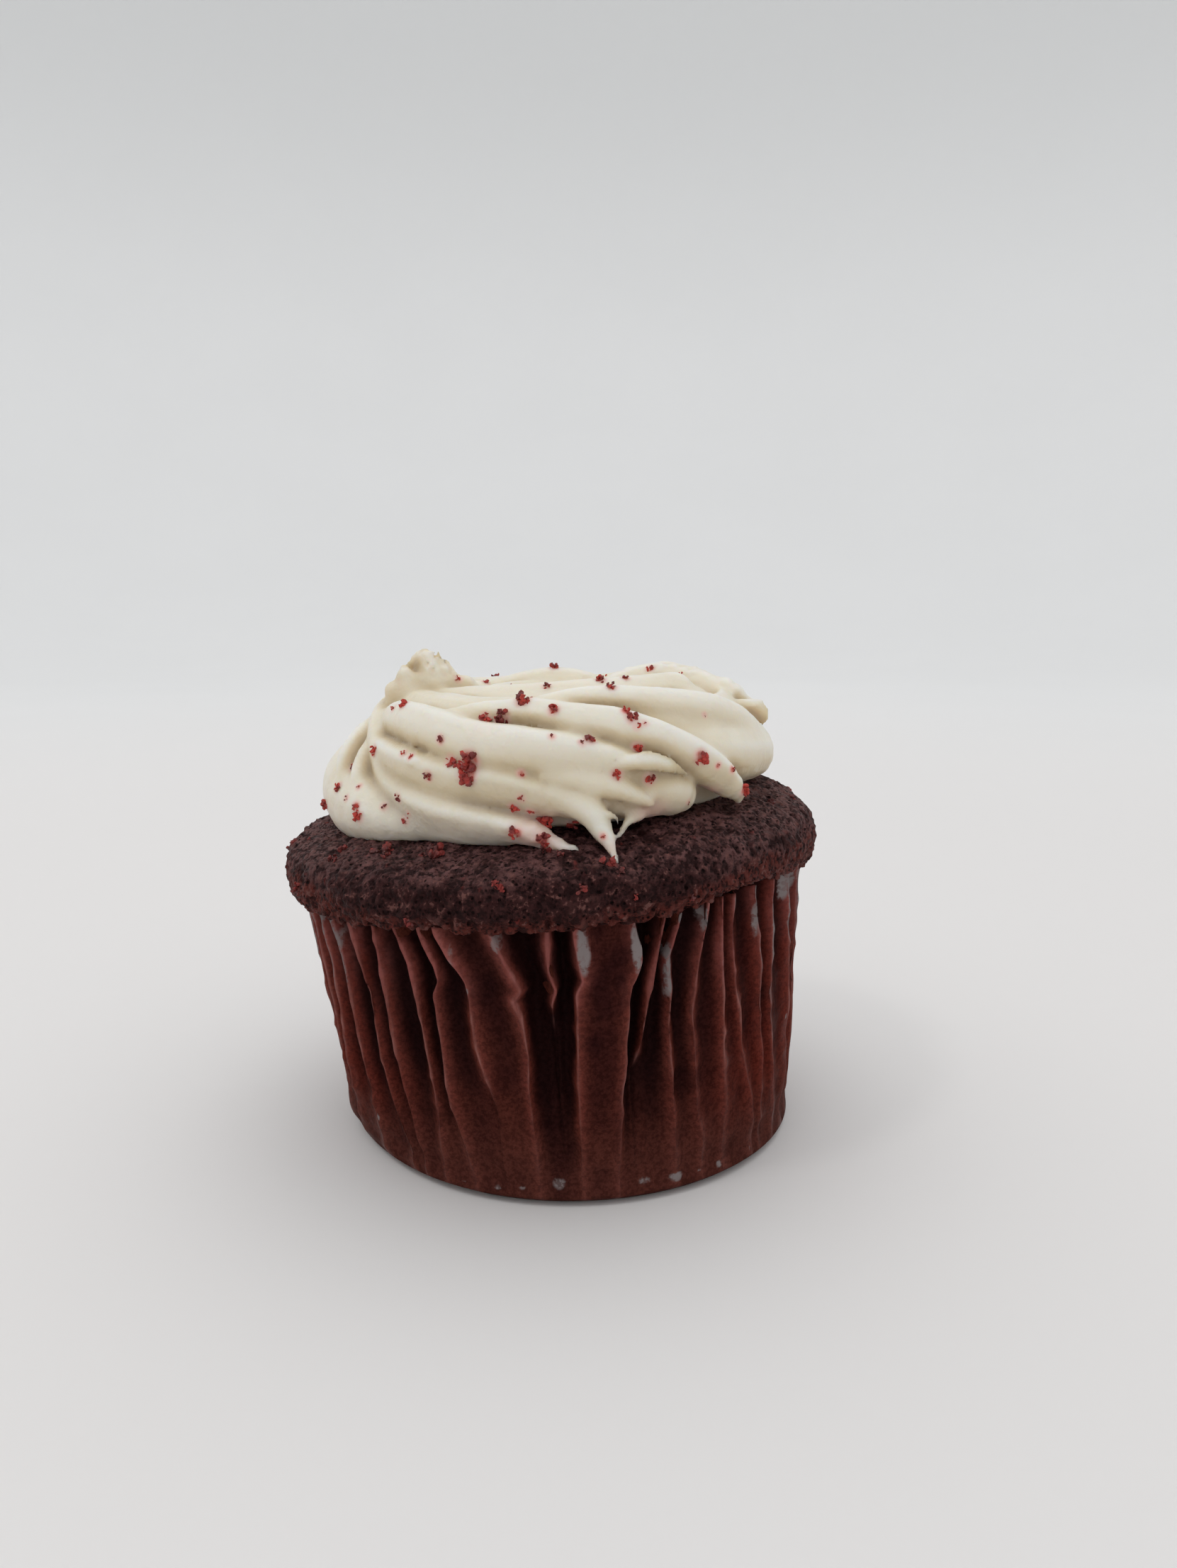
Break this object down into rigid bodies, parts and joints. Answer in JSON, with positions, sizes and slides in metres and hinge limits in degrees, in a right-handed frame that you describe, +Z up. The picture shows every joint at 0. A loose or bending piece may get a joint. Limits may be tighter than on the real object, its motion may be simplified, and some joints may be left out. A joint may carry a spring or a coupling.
{
  "type": "cupcake",
  "caption": "Cupcake: domed cake in a pleated paper case, topped with a low piped swirl of cream icing sprinkled with cake crumbs.",
  "frame": {"origin": "centre of the flat base of the paper case", "axes": "+Z up, -Y towards the front, where the icing ends in a hanging torn tail, +X to the right seen from the front"},
  "size_m": [0.0621, 0.0618, 0.0551],
  "materials": {
    "paper": "greaseproof paper soaked a dark red-brown by the cake, with pale dry streaks at the rim and a soft waxy sheen",
    "sponge": "dark red-brown baked sponge, matte, with fine pores and a crumbly lip",
    "icing": "ivory cream icing, smooth and slightly moist, with red crumbs that have tinted it pink around them"
  },
  "bodies": {
    "root": {"paper_case": "paper", "cake": "sponge", "icing": "icing"}
  },
  "joints": []
}
